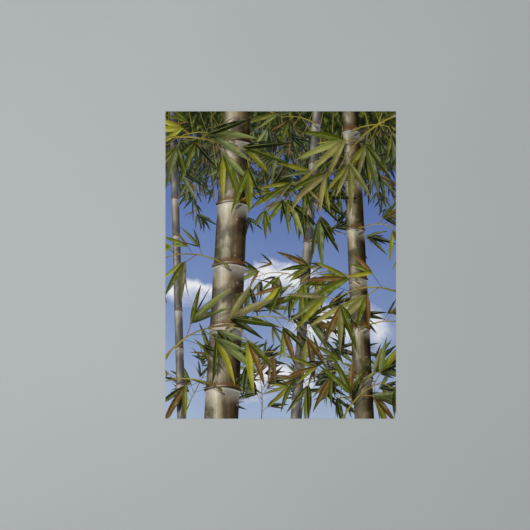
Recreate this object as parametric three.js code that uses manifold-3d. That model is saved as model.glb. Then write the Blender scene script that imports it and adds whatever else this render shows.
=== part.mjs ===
// An unframed wall print: a matte self-adhesive film with a bamboo grove printed to its edges.
// Millimetres, +Z up. The glued back is the plane y = 0, with the origin at its centre, and the
// printed front faces -Y. The picture is a stack of ink coats, laid one over the other.
import * as THREE from "three";
import { mergeVertices } from "three/addons/utils/BufferGeometryUtils.js";
import Module from "manifold-3d";

const wasm = await Module();
wasm.setup();

// The sheet and its layers
const SHEET_WIDTH = 457.2;
const SHEET_HEIGHT = 609.6;
const ADHESIVE_THICKNESS = 0.0625;
const FILM_THICKNESS = 0.1875;
const COAT_THICKNESS = 0.0625;

// The order of the ink coats, from the film outwards
const SKY = 0;
const CLOUDS_AND_FAR_LEAVES = 1;
const LOW_LEAVES = 2;
const SLENDER_CULMS = 3;
const MIDDLE_LEAVES = 4;
const BROAD_CULMS = 5;
const RINGS = 6;
const LEFT_LEAVES = 7;
const RIGHT_LEAVES = 8;
const NEAR_LEAVES = 9;

// A culm swells at each ring, and the ring is an arched band across it
const RING_SWELL = 1.09;
const RING_BAND = 0.13;
const RING_ARCH = 0.12;
const RING_STEPS = 6;

// A spray is a bent branch with short twigs on both sides, and a fan of leaves at each twig's tip
const BRANCH_STEPS = 6;
const BRANCH_WIDTH = 3;
const TWIG_WIDTH = 1.6;
const TIP_WIDTH = 1.1;
const TWIG_LENGTH = 15;
const TWIG_SPREAD = 38;
const LEAF_LENGTH = 62;
const LEAF_SLIMNESS = 0.125;
const LEAF_STEPS = 3;
const LEAF_SPREAD = 27;
const LEAF_WEIGHT = 0.55;
const LEAF_SINK = 4;
const LEAF_CLEARANCE = 0.4;
const WIDEST_PLACE = 0.7;
const ROUNDNESS = 0.9;
const FULL_FAN_SHARE = 0.3;
const SMALLEST_SPRAY = 400;

// The row of draws that a seed gives, and how far a spray's own seed lies from its group's
const DRAW_STEP = 48271;
const DRAW_RANGE = 2147483647;
const SEED_SPACING = 7919;
const SEED_START = 17;
const SEED_STEP = 40;

// Outlines are joined and cut as thick slabs, and pressed to a coat's thickness afterwards
const SLAB = 10;

const INK = {
  adhesive: { color: 0xd9d8d2, roughness: 0.5 },
  film: { color: 0xf1f0ec, roughness: 0.6 },
  sky: { color: 0x6f8fc9, roughness: 0.6 },
  cloud: { color: 0xe6e9ee, roughness: 0.6 },
  farCulm: { color: 0x858577, roughness: 0.6 },
  culm: { color: 0xa69c87, roughness: 0.6 },
  ring: { color: 0x4d4234, roughness: 0.6 },
  farLeaf: { color: 0x47603f, roughness: 0.6 },
  lowLeaf: { color: 0x3c5236, roughness: 0.6 },
  middleLeaf: { color: 0x35471b, roughness: 0.6 },
  leftLeaf: { color: 0x6f7f22, roughness: 0.6 },
  rightLeaf: { color: 0x50661e, roughness: 0.6 },
  nearLeaf: { color: 0x8f9a2c, roughness: 0.6 },
};

const print = new THREE.Group();
const inPlace = [];

function radians(degrees) {
  return (degrees * Math.PI) / 180;
}

function mix(from, to, share) {
  return from + (to - from) * share;
}

// The same seed always gives the same row of draws between 0 and 1.
class Draws {
  constructor(seed) {
    this.state = seed * SEED_SPACING + SEED_START;
    this.next();
    this.next();
  }

  next() {
    this.state = (this.state * DRAW_STEP) % DRAW_RANGE;
    return this.state / DRAW_RANGE;
  }

  between(low, high) {
    return mix(low, high, this.next());
  }
}

// A slab of an outline in the sheet's own plane, as a solid that can be joined and cut.
function slabOf(points) {
  const shape = new THREE.Shape(points.map(([x, z]) => new THREE.Vector2(x, z)));
  const slab = new THREE.ExtrudeGeometry(shape, { depth: SLAB, bevelEnabled: false });
  slab.deleteAttribute("normal");
  slab.deleteAttribute("uv");
  const merged = mergeVertices(slab);
  return new wasm.Manifold(new wasm.Mesh({
    numProp: 3,
    vertProperties: new Float32Array(merged.attributes.position.array),
    triVerts: new Uint32Array(merged.index.array),
  }));
}

function sheetOutline() {
  const side = SHEET_WIDTH / 2;
  const top = SHEET_HEIGHT / 2;
  return [[-side, -top], [side, -top], [side, top], [-side, top]];
}

const sheetSlab = slabOf(sheetOutline());

// Joins the slabs, trims them to the sheet and keeps the largest piece that is left.
function trimmedToSheet(slabs) {
  const joined = slabs.reduce((whole, slab) => whole.add(slab));
  const pieces = joined.intersect(sheetSlab).decompose();
  pieces.sort((a, b) => b.volume() - a.volume());
  return pieces[0];
}

// Turns a slab into a layer that lies between two depths in front of the wall.
function addLayer(name, slab, depth, thickness, ink) {
  const mesh = slab.getMesh();
  const layer = new THREE.BufferGeometry();
  layer.setAttribute("position", new THREE.BufferAttribute(new Float32Array(mesh.vertProperties), 3));
  layer.setIndex(new THREE.BufferAttribute(new Uint32Array(mesh.triVerts), 1));
  layer.scale(1, 1, thickness / SLAB);
  layer.rotateX(Math.PI / 2);
  layer.computeVertexNormals();
  const material = new THREE.MeshStandardMaterial({ metalness: 0, ...ink });
  const part = new THREE.Mesh(layer, material);
  part.name = name;
  part.position.y = -depth;
  print.add(part);
}

function addCoat(name, slab, coat, ink) {
  const depth = ADHESIVE_THICKNESS + FILM_THICKNESS + coat * COAT_THICKNESS;
  addLayer(name, slab, depth, COAT_THICKNESS, ink);
  inPlace.push({ coat, slab });
}

// True where a slab would run into what is already printed in the same coat.
function meetsPrinted(slab, coat) {
  return inPlace.some((other) => other.coat === coat
    && other.slab.minGap(slab, LEAF_CLEARANCE) < LEAF_CLEARANCE);
}

// The film, its adhesive and the sky coat cover the whole sheet.
addLayer("adhesive_layer", sheetSlab, 0, ADHESIVE_THICKNESS, INK.adhesive);
addLayer("film", sheetSlab, ADHESIVE_THICKNESS, FILM_THICKNESS, INK.film);
addCoat("sky_coat", sheetSlab, SKY, INK.sky);

// A cloud is a row of round puffs on a flat base, higher in its middle.
const CLOUDS = [
  { name: "cloud_right", x: 150, z: -150, width: 230, puffs: 6, seed: 11 },
  { name: "cloud_middle", x: 0, z: -40, width: 150, puffs: 5, seed: 12 },
  { name: "cloud_left", x: -190, z: -60, width: 110, puffs: 4, seed: 13 },
  { name: "cloud_low", x: -20, z: -250, width: 180, puffs: 5, seed: 14 },
];
const PUFF_SIDES = 14;
const PUFF_FLATNESS = 0.62;
const END_PUFF = 0.12;
const PUFF_GROWTH = 0.13;

function puffOutline(x, z, radius) {
  const corners = [...Array(PUFF_SIDES).keys()];
  return corners.map((corner) => {
    const angle = (2 * Math.PI * corner) / PUFF_SIDES;
    return [x + radius * Math.cos(angle), z + PUFF_FLATNESS * radius * Math.sin(angle)];
  });
}

for (const cloud of CLOUDS) {
  const draws = new Draws(cloud.seed);
  const puffs = [];
  for (let puff = 0; puff < cloud.puffs; puff += 1) {
    const along = (puff + 0.5) / cloud.puffs;
    const swell = END_PUFF + PUFF_GROWTH * Math.sin(Math.PI * along);
    const radius = cloud.width * swell * draws.between(0.85, 1.2);
    const x = cloud.x + cloud.width * (along - 0.5);
    puffs.push(slabOf(puffOutline(x, cloud.z + radius * draws.between(0, 0.5), radius)));
  }
  addCoat(cloud.name, trimmedToSheet(puffs), CLOUDS_AND_FAR_LEAVES, INK.cloud);
}

// The culms: where each one leaves the sheet below and above, its widths there, and its rings.
const CULMS = [
  { name: "far", coat: SLENDER_CULMS, ink: INK.farCulm, foot: -197, head: -214, footWidth: 17,
    headWidth: 14, firstRing: -240, ringGap: 74 },
  { name: "slim", coat: SLENDER_CULMS, ink: INK.farCulm, foot: 30, head: 72, footWidth: 21,
    headWidth: 17, firstRing: -268, ringGap: 78 },
  { name: "right", coat: BROAD_CULMS, ink: INK.culm, foot: 166, head: 138, footWidth: 39,
    headWidth: 32, firstRing: -226, ringGap: 98 },
  { name: "left", coat: BROAD_CULMS, ink: INK.culm, foot: -118, head: -86, footWidth: 68,
    headWidth: 55, firstRing: -250, ringGap: 123 },
];

// Where a culm's middle runs at one height, and how wide it is there.
function culmAt(culm, z) {
  const share = (z + SHEET_HEIGHT / 2) / SHEET_HEIGHT;
  return { x: mix(culm.foot, culm.head, share), width: mix(culm.footWidth, culm.headWidth, share) };
}

function ringHeights(culm) {
  const heights = [];
  for (let z = culm.firstRing; z < SHEET_HEIGHT / 2; z += culm.ringGap) {
    heights.push(z);
  }
  return heights;
}

function culmOutline(culm) {
  const stations = [[-SHEET_HEIGHT / 2, 1]];
  for (const z of ringHeights(culm)) {
    const reach = culmAt(culm, z).width * RING_BAND;
    stations.push([z - reach, 1], [z, RING_SWELL], [z + reach, 1]);
  }
  stations.push([SHEET_HEIGHT / 2, 1]);
  const side = (sign) => stations.map(([z, swell]) => {
    const { x, width } = culmAt(culm, z);
    return [x + (sign * swell * width) / 2, z];
  });
  return [...side(1), ...side(-1).reverse()];
}

function ringOutline(culm, z) {
  const { x, width } = culmAt(culm, z);
  const arc = (lift) => [...Array(RING_STEPS + 1).keys()].map((step) => {
    const across = (2 * step) / RING_STEPS - 1;
    const rise = RING_ARCH * width * (1 - across * across);
    return [x + (across * RING_SWELL * width) / 2, z + rise + lift];
  });
  return [...arc(-0.5 * RING_BAND * width), ...arc(0.5 * RING_BAND * width).reverse()];
}

for (const culm of CULMS) {
  addCoat(`culm_${culm.name}`, trimmedToSheet([slabOf(culmOutline(culm))]), culm.coat, culm.ink);
  if (culm.coat === BROAD_CULMS) {
    ringHeights(culm).forEach((z, index) => {
      const ring = trimmedToSheet([slabOf(ringOutline(culm, z))]);
      addCoat(`ring_${culm.name}_${index + 1}`, ring, RINGS, INK.ring);
    });
  }
}

// The points of a branch that sets out at a heading and turns evenly by a bend, both in degrees.
function bentPath(start, heading, length, bend, steps) {
  const path = [start];
  for (let step = 0; step < steps; step += 1) {
    const angle = radians(heading + (bend * (step + 0.5)) / steps);
    const [x, z] = path[step];
    path.push([x + (Math.cos(angle) * length) / steps, z + (Math.sin(angle) * length) / steps]);
  }
  return path;
}

function ribbonOutline(path, widthAtStart, widthAtEnd) {
  const left = [];
  const right = [];
  path.forEach(([x, z], index) => {
    const [backX, backZ] = path[Math.max(0, index - 1)];
    const [aheadX, aheadZ] = path[Math.min(path.length - 1, index + 1)];
    const run = Math.hypot(aheadX - backX, aheadZ - backZ);
    const half = mix(widthAtStart, widthAtEnd, index / (path.length - 1)) / 2;
    const acrossX = (-(aheadZ - backZ) / run) * half;
    const acrossZ = ((aheadX - backX) / run) * half;
    left.push([x + acrossX, z + acrossZ]);
    right.push([x - acrossX, z - acrossZ]);
  });
  return [...left, ...right.reverse()];
}

// A leaf's half-width at a share of its length: widest before the middle, and pointed at its tip.
function leafSwell(share) {
  return Math.sin(Math.PI * share ** WIDEST_PLACE) ** ROUNDNESS;
}

// A point of a leaf, from its distance along the midrib and across it, with the midrib's bend.
function leafPoint(leaf, along, across) {
  const angle = radians(leaf.heading);
  const side = across + (leaf.bend * along * along) / leaf.length;
  return [
    leaf.root[0] + Math.cos(angle) * along - Math.sin(angle) * side,
    leaf.root[1] + Math.sin(angle) * along + Math.cos(angle) * side,
  ];
}

function leafOutline(leaf) {
  const outline = [leafPoint(leaf, 0, 0)];
  for (let step = 1; step < LEAF_STEPS; step += 1) {
    const share = step / LEAF_STEPS;
    outline.push(leafPoint(leaf, share * leaf.length, (-leafSwell(share) * leaf.width) / 2));
  }
  outline.push(leafPoint(leaf, leaf.length, 0));
  for (let step = LEAF_STEPS - 1; step > 0; step -= 1) {
    const share = step / LEAF_STEPS;
    outline.push(leafPoint(leaf, share * leaf.length, (leafSwell(share) * leaf.width) / 2));
  }
  return outline;
}

// The leaves of one fan spread evenly about a heading that leans towards the ground, and their
// roots lie back over the twig's tip.
function fanOfLeaves(draws, tip, twigHeading, count, scale) {
  const lean = Math.sin(radians(twigHeading)) - LEAF_WEIGHT;
  const middle = (Math.atan2(lean, Math.cos(radians(twigHeading))) * 180) / Math.PI;
  const leaves = [];
  for (let index = 0; index < count; index += 1) {
    const place = index - (count - 1) / 2;
    const heading = middle + place * LEAF_SPREAD + draws.between(-7, 7);
    const length = LEAF_LENGTH * scale * draws.between(1, 1.5) * (1 - 0.12 * Math.abs(place));
    const width = length * LEAF_SLIMNESS * draws.between(0.95, 1.2);
    const droop = Math.cos(radians(heading)) > 0 ? -1 : 1;
    const root = bentPath(tip, heading + 180, LEAF_SINK * scale, 0, 1)[1];
    leaves.push({ root, heading, length, width, bend: droop * draws.between(0.04, 0.14) });
  }
  return leaves;
}

// A branch, and its twigs with their leaves, as outlines that are still apart.
function growSpray(spray) {
  const draws = new Draws(spray.seed);
  const { scale } = spray;
  const branch = bentPath(spray.start, spray.heading, spray.length, spray.bend, BRANCH_STEPS);
  const fans = [];
  for (let twig = 0; twig < spray.twigs; twig += 1) {
    const share = 0.25 + (0.75 * (twig + draws.between(0.5, 1))) / spray.twigs;
    const place = Math.min(share, 1) * BRANCH_STEPS;
    const step = Math.min(Math.floor(place), BRANCH_STEPS - 1);
    const foot = [0, 1].map((axis) => mix(branch[step][axis], branch[step + 1][axis], place - step));
    const side = twig % 2 === 0 ? 1 : -1;
    const heading = spray.heading + spray.bend * share + side * TWIG_SPREAD * draws.between(1, 1.35);
    const reach = TWIG_LENGTH * scale * draws.between(1, 1.7);
    const tip = bentPath(foot, heading, reach, 0, 1)[1];
    const count = draws.next() < FULL_FAN_SHARE ? 4 : 3;
    fans.push({
      stem: ribbonOutline([foot, tip], TWIG_WIDTH * scale, TWIG_WIDTH * scale),
      leaves: fanOfLeaves(draws, tip, heading, count, scale),
    });
  }
  return { branch: ribbonOutline(branch, BRANCH_WIDTH * scale, TIP_WIDTH * scale), fans };
}

// A twig or leaf that would meet another spray of its coat is left out, and so is a bare twig.
function addSpray(spray) {
  const { branch, fans } = growSpray(spray);
  const isClear = (slab) => !meetsPrinted(slab, spray.coat);
  const slabs = [slabOf(branch)];
  for (const fan of fans) {
    const stem = slabOf(fan.stem);
    const leaves = fan.leaves.map((leaf) => slabOf(leafOutline(leaf))).filter(isClear);
    if (isClear(stem) && leaves.length > 0) {
      slabs.push(stem, ...leaves);
    }
  }
  const body = trimmedToSheet(slabs);
  if (isClear(slabs[0]) && body && body.volume() > SMALLEST_SPRAY * SLAB) {
    addCoat(spray.name, body, spray.coat, spray.ink);
  }
}

// Sprays spread evenly along an edge behind the culms, which hang where they head down from the
// upper edge, and rise over the lower one otherwise
const EDGE_SPRAYS = [
  { name: "hanging", coat: CLOUDS_AND_FAR_LEAVES, ink: INK.farLeaf, count: 7, seed: 100,
    spread: 1.05, beyond: 14, heading: -90, turn: 14, length: 120, longer: 60, bend: 24,
    scale: 0.85, twigs: 3 },
  { name: "low", coat: LOW_LEAVES, ink: INK.lowLeaf, count: 6, seed: 700,
    spread: 1.04, beyond: 12, heading: 90, turn: 26, length: 95, longer: 80, bend: 40,
    scale: 0.8, twigs: 4 },
];

for (const rule of EDGE_SPRAYS) {
  for (let index = 0; index < rule.count; index += 1) {
    const draws = new Draws(rule.seed + index);
    const across = (index + 0.5) / rule.count - 0.5;
    const foot = -Math.sign(rule.heading) * (SHEET_HEIGHT / 2 + rule.beyond);
    addSpray({
      ...rule,
      name: `leaves_${rule.name}_${index + 1}`,
      seed: rule.seed + SEED_STEP + index,
      start: [across * SHEET_WIDTH * rule.spread, foot],
      heading: rule.heading + draws.between(-rule.turn, rule.turn),
      length: rule.length + draws.between(0, rule.longer),
      bend: draws.between(-rule.bend, rule.bend),
    });
  }
}

// Sprays that grow at the rings of a culm, turn about on its two sides
function addCulmSprays(culm, rule) {
  ringHeights(culm).forEach((z, index) => {
    const side = index % 2 === rule.firstSide ? 1 : -1;
    const draws = new Draws(rule.seed + index);
    addSpray({
      name: `leaves_${culm.name}_${index + 1}`,
      coat: rule.coat,
      ink: rule.ink,
      seed: rule.seed + SEED_STEP + index,
      start: [culmAt(culm, z).x, z],
      heading: 90 - side * rule.lean,
      length: rule.length * draws.between(0.9, 1.15),
      bend: -side * rule.bend,
      scale: rule.scale,
      twigs: rule.twigs,
    });
  });
}

const [, slimCulm, rightCulm, leftCulm] = CULMS;
addCulmSprays(slimCulm, { coat: MIDDLE_LEAVES, ink: INK.middleLeaf, seed: 200, firstSide: 0,
  lean: 52, bend: 72, length: 105, scale: 0.8, twigs: 3 });
addCulmSprays(leftCulm, { coat: LEFT_LEAVES, ink: INK.leftLeaf, seed: 300, firstSide: 1,
  lean: 54, bend: 78, length: 170, scale: 1.15, twigs: 4 });
addCulmSprays(rightCulm, { coat: RIGHT_LEAVES, ink: INK.rightLeaf, seed: 400, firstSide: 1,
  lean: 56, bend: 84, length: 130, scale: 0.95, twigs: 4 });

// The nearest sprays reach in over the sheet's edges: where each starts, and where it heads.
const NEAR_SEED = 500;
const NEAR_SPRAYS = [
  { x: -240, z: 250, heading: 12, bend: -50, length: 190 },
  { x: 236, z: 300, heading: 200, bend: 45, length: 170 },
  { x: 244, z: -60, heading: 150, bend: 70, length: 150 },
  { x: -232, z: -190, heading: 60, bend: -75, length: 180 },
  { x: 120, z: -318, heading: 75, bend: -60, length: 130 },
];

NEAR_SPRAYS.forEach(({ x, z, heading, bend, length }, index) => {
  addSpray({
    name: `leaves_near_${index + 1}`,
    coat: NEAR_LEAVES,
    ink: INK.nearLeaf,
    seed: NEAR_SEED + index,
    start: [x, z],
    heading,
    length,
    bend,
    scale: 1.35,
    twigs: 4,
  });
});

export default print;
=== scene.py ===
# %% [markdown]
# # A wall print of a bamboo grove
# The object is one sheet of matte self-adhesive film. It is printed right to its edges and stuck
# flat on a wall, with no frame. Its solids come in as a fixed frame, and every piece made here
# lies on them, in metres, with +Z up and the printed side facing -Y.

# %% Load the frame
import functools
import math

import bmesh
import bpy
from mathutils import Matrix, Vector
from mathutils.geometry import delaunay_2d_cdt


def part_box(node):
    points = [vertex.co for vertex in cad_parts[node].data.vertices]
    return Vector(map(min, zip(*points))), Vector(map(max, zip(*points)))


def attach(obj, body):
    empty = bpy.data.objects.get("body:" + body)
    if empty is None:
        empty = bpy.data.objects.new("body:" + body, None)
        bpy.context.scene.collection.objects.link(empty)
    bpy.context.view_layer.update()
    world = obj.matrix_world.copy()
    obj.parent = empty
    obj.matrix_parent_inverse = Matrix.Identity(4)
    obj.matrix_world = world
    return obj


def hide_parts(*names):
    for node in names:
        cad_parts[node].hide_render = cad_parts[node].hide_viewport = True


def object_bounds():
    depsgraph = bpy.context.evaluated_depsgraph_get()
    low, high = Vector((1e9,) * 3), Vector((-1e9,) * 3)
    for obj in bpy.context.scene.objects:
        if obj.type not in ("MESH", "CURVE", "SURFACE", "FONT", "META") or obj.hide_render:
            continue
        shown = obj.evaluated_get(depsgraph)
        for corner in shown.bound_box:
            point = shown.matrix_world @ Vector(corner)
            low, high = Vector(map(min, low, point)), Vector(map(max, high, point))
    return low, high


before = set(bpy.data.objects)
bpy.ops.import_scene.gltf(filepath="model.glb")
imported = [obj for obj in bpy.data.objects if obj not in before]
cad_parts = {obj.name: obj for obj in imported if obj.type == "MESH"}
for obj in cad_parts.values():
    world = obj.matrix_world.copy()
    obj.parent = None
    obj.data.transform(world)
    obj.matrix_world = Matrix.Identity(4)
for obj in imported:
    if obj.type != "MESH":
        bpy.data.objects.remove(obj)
CAD_LOW, CAD_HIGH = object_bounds()
MM = 0.001

SHEET_WIDTH = CAD_HIGH.x - CAD_LOW.x
SHEET_HEIGHT = CAD_HIGH.z - CAD_LOW.z
FILM_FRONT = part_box("film")[0].y
INK_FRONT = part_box("sky_coat")[0].y
print("sheet", round(SHEET_WIDTH, 4), "by", round(SHEET_HEIGHT, 4), "m")

# %% [markdown]
# ## The camera
# The photograph is taken square on, so the sheet shows as a true rectangle with no perspective.
# A long lens two and a half metres off gives the same. The lens follows from the width of wall
# that the frame takes in, and the camera stands a little to the left, because the sheet sits a
# little to the right of the middle.

# %% Place the camera
FRAME_PIXELS = 530
SHEET_PIXELS = 230.5
SHEET_MIDDLE_PIXEL = 280.7
CAMERA_DISTANCE = 2.5
SENSOR_WIDTH = 36.0


def new_object(name, data):
    """An object at the origin, in the scene's own collection."""
    obj = bpy.data.objects.new(name, data)
    bpy.context.scene.collection.objects.link(obj)
    return obj


metres_per_pixel = SHEET_WIDTH / SHEET_PIXELS
camera_data = bpy.data.cameras.new("camera")
camera_data.sensor_width = SENSOR_WIDTH
camera_data.lens = SENSOR_WIDTH * CAMERA_DISTANCE / (FRAME_PIXELS * metres_per_pixel)
camera = new_object("camera", camera_data)
camera.location = (
    (FRAME_PIXELS / 2 - SHEET_MIDDLE_PIXEL) * metres_per_pixel,
    INK_FRONT - CAMERA_DISTANCE,
    0,
)
camera.rotation_euler = (math.pi / 2, 0, 0)
bpy.context.scene.camera = camera
print("lens", round(camera_data.lens, 1), "mm")

# %% [markdown]
# ## The picture as a set of marks
# The picture on the sheet is flat colour in many small outlines: culms, rings, twigs and leaves.
# It could be one painted image, but an image blurs when it is enlarged and says nothing about
# how it was drawn. Here it is grown by a rule instead. A rule places the roots of the leaves and
# the paths of the stems, Geometry Nodes turn them into outlines, and the outlines are then cut
# into one flat layer. A seeded row of draws makes the growth look free and yet stay the same
# every time. Python has random numbers of its own, but the solids were grown with the short rule
# below, and with the same rule here the large leaves fall on the solid ones.

# %% Draws, headings and paths
DRAW_STEP = 48271
DRAW_RANGE = 2147483647
SEED_SPACING = 7919
SEED_START = 17


class Draws:
    """The same seed always gives the same row of draws between 0 and 1."""

    def __init__(self, seed):
        self.state = seed * SEED_SPACING + SEED_START
        self.next()
        self.next()

    def next(self):
        self.state = self.state * DRAW_STEP % DRAW_RANGE
        return self.state / DRAW_RANGE

    def between(self, low, high):
        return mix(low, high, self.next())


def mix(low, high, share):
    return low + (high - low) * share


def step_from(point, heading, length):
    """The point at a distance from another one, in the direction of a heading in degrees."""
    angle = math.radians(heading)
    return (point[0] + math.cos(angle) * length, point[1] + math.sin(angle) * length)


def bent_path(start, heading, length, bend, steps):
    """Points of a path that sets out at a heading and turns evenly by a bend, in degrees."""
    path = [start]
    for step in range(steps):
        path.append(step_from(path[-1], heading + bend * (step + 0.5) / steps, length / steps))
    return path


def point_along(path, share):
    """The point at a share of the way along a path."""
    place = min(share, 1) * (len(path) - 1)
    step = min(int(place), len(path) - 2)
    return tuple(mix(path[step][axis], path[step + 1][axis], place - step) for axis in (0, 1))


print("draws for seed 1:", [round(Draws(1).between(0, 1), 3)])

# %% [markdown]
# Every outline is one of two kinds of mark. A blade is a leaf, known by its root, heading, length,
# width and bend. A ribbon is a stem, culm or ring, known by the points of its path and its width
# at each. Marks are kept in the order in which a painter would lay them down, so a later one
# covers an earlier one, and each belongs to an ink. The sky and the clouds come first.

# %% Keep the marks in painting order
marks = []
clouds = []
blades = []
ribbons = []
MIDDLE_TONE = 0.5
CLOUD_MARGIN = 1.3


def new_mark(ink, tone=MIDDLE_TONE):
    """A later mark has a higher number, and covers the earlier ones."""
    marks.append({"ink": ink, "tone": tone})
    return len(marks) - 1


def add_cloud(node):
    """An oval a little wider than the solid cloud."""
    low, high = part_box(node)
    middle = ((low.x + high.x) / 2, (low.z + high.z) / 2)
    size = ((high.x - low.x) / 2 * CLOUD_MARGIN, (high.z - low.z) / 2 * CLOUD_MARGIN)
    clouds.append({"mark": new_mark("cloud"), "middle": middle, "size": size})


def add_blade(ink, tone, root, heading, length, width, bend):
    blades.append({
        "mark": new_mark(ink, tone), "root": root, "heading": math.radians(heading),
        "length": length, "width": width, "bend": bend,
    })


def add_ribbon(ink, tone, path, widths, culm=None):
    ribbons.append({"mark": new_mark(ink, tone), "path": path, "widths": widths, "culm": culm})


new_mark("sky")
for node in sorted(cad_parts):
    if node.startswith("cloud_"):
        add_cloud(node)
print(len(clouds), "clouds on the sky")

# %% [markdown]
# ## Culms and their rings
# A bamboo culm is a jointed tube that narrows very little. At each joint it swells into a ring
# with a pale bloom above a dark scar. On the sheet a culm is a ribbon whose width is known at a
# few stations, and a ring is an arched ribbon across it. Two broad culms stand in front, and two
# slender ones stand further off.

# %% The culms
RING_SWELL = 1.09
RING_BAND = 0.13
RING_ARCH = 0.12
RING_STEPS = 12
BLEED = 2 * MM

CULMS = {
    "far": {"ink": "far_culm", "foot": -197, "head": -214, "foot_width": 17, "head_width": 14,
            "first_ring": -240, "ring_gap": 74, "tone": 0.6},
    "slim": {"ink": "far_culm", "foot": 30, "head": 72, "foot_width": 21, "head_width": 17,
             "first_ring": -268, "ring_gap": 78, "tone": 0.9},
    "right": {"ink": "culm", "foot": 166, "head": 138, "foot_width": 39, "head_width": 32,
              "first_ring": -226, "ring_gap": 98, "tone": 0.7},
    "left": {"ink": "culm", "foot": -118, "head": -86, "foot_width": 68, "head_width": 55,
             "first_ring": -250, "ring_gap": 123, "tone": 0.3},
}


def culm_at(culm, z):
    """Where a culm's middle runs at one height, and how wide it is there."""
    share = z / SHEET_HEIGHT + 0.5
    x = mix(culm["foot"], culm["head"], share) * MM
    width = mix(culm["foot_width"], culm["head_width"], share) * MM
    return x, width


def ring_heights(culm):
    """From the first ring up to the upper edge of the sheet."""
    heights = []
    z = culm["first_ring"] * MM
    while z < SHEET_HEIGHT / 2:
        heights.append(z)
        z += culm["ring_gap"] * MM
    return heights


def add_culm(culm):
    """A culm swells a little at each of its rings."""
    stations = [(-SHEET_HEIGHT / 2 - BLEED, 1)]
    for z in ring_heights(culm):
        reach = culm_at(culm, z)[1] * RING_BAND
        stations += [(z - reach, 1), (z, RING_SWELL), (z + reach, 1)]
    stations.append((SHEET_HEIGHT / 2 + BLEED, 1))
    path = [(culm_at(culm, z)[0], z) for z, _ in stations]
    widths = [culm_at(culm, z)[1] * swell for z, swell in stations]
    add_ribbon(culm["ink"], culm["tone"], path, widths, culm)


def add_rings(culm):
    """Arched ribbons, as wide as the culm is where it swells."""
    for z in ring_heights(culm):
        x, width = culm_at(culm, z)
        path = []
        for step in range(RING_STEPS + 1):
            across = 2 * step / RING_STEPS - 1
            rise = RING_ARCH * width * (1 - across * across)
            path.append((x + across * RING_SWELL * width / 2, z + rise))
        add_ribbon("ring", MIDDLE_TONE, path, [RING_BAND * width] * len(path))


for name, culm in CULMS.items():
    print("the", name, "culm will have", len(ring_heights(culm)), "rings")

# %% [markdown]
# ## Sprays of leaves
# Bamboo leaves are lances, about eight times as long as they are wide. One leaf could be drawn
# well and copied, but the eye finds a copy at once. So every leaf draws its own heading, length,
# width and droop, within the bounds of its kind, and some are turned edge on. Its tone depends on
# the way it faces, and a few leaves are dry and ochre.

# %% Draw a leaf
LEAF_LENGTH = 62 * MM
LEAF_SLIMNESS = 0.125
FAN_LEAF = {"turn": (-7, 7), "length": (1, 1.5), "width": (0.95, 1.2),
            "droop": (0.04, 0.14), "sink": 4 * MM, "edge_on": False}
LOOSE_LEAF = {"turn": (-62, 62), "length": (0.6, 1.05), "width": (0.75, 1),
              "droop": (0.05, 0.2), "sink": 2 * MM, "edge_on": True}
EDGE_ON_SHARE = 0.3
EDGE_ON_WIDTH = (0.35, 0.6)
LIGHT_HEADING = 205
FACING_LIGHT = 0.16
TONE_VARIETY = 0.24
LIGHTEST_LEAF = 0.8
OCHRE_SHARE = 0.15
OCHRE_TONE = (0.92, 1)


def slimmed(draws, width):
    """Some leaves are turned edge on, and show no more than a part of their width."""
    return width * draws.between(*EDGE_ON_WIDTH) if draws.next() < EDGE_ON_SHARE else width


def draw_leaf(draws, kind, tip, heading, scale, share=1):
    """A leaf rooted a little behind the tip of its twig, which droops on the side it leans to."""
    heading = heading + draws.between(*kind["turn"])
    length = LEAF_LENGTH * scale * draws.between(*kind["length"]) * share
    width = length * LEAF_SLIMNESS * draws.between(*kind["width"])
    if kind["edge_on"]:
        width = slimmed(draws, width)
    side = -1 if math.cos(math.radians(heading)) > 0 else 1
    bend = side * draws.between(*kind["droop"])
    root = step_from(tip, heading + 180, kind["sink"] * scale)
    return {"root": root, "heading": heading, "length": length, "width": width, "bend": bend}


def leaf_tone(draws, heading, brightness):
    """How light a leaf is. Ochre lies above the lightest green."""
    if draws.next() < OCHRE_SHARE:
        return draws.between(*OCHRE_TONE)
    facing = math.cos(math.radians(heading - LIGHT_HEADING))
    tone = brightness + FACING_LIGHT * facing + draws.between(-TONE_VARIETY, TONE_VARIETY)
    return min(max(tone, 0), LIGHTEST_LEAF)


print("a leaf is about", round(LEAF_LENGTH * LEAF_SLIMNESS / MM, 1), "mm wide")

# %% [markdown]
# The leaves stand in fans at the tips of short twigs, and their weight pulls a fan towards the
# ground. A few large leaves are spread evenly over the fan, as they are on the solids, and loose
# ones stand at any angle between them.

# %% Fans of leaves
LEAF_WEIGHT = 0.55
LEAF_SPREAD = 27
OUTER_LOSS = 0.12


def fan_middle(twig_heading):
    """The heading of a fan, between that of its twig and straight down."""
    lean = math.sin(math.radians(twig_heading)) - LEAF_WEIGHT
    return math.degrees(math.atan2(lean, math.cos(math.radians(twig_heading))))


def fan_leaves(draws, tip, twig_heading, count, scale):
    """Leaves spread evenly over a fan. The outer ones are a little shorter."""
    middle = fan_middle(twig_heading)
    leaves = []
    for index in range(count):
        place = index - (count - 1) / 2
        share = 1 - OUTER_LOSS * abs(place)
        heading = middle + place * LEAF_SPREAD
        leaves.append(draw_leaf(draws, FAN_LEAF, tip, heading, scale, share))
    return leaves


def loose_leaves(draws, tip, twig_heading, count, scale):
    """Slimmer leaves at any angle of the fan."""
    middle = fan_middle(twig_heading)
    return [draw_leaf(draws, LOOSE_LEAF, tip, middle, scale) for _ in range(count)]


print("the fan of a level twig heads", round(-fan_middle(0)), "degrees below it")

# %% [markdown]
# The twigs stand on both sides of a thin arching branch. Branch, twigs and fans together are a
# spray. It could be modelled as curves right away, but as plain points and numbers it is quick to
# grow, and the solids were grown by the very same rule.

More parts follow.
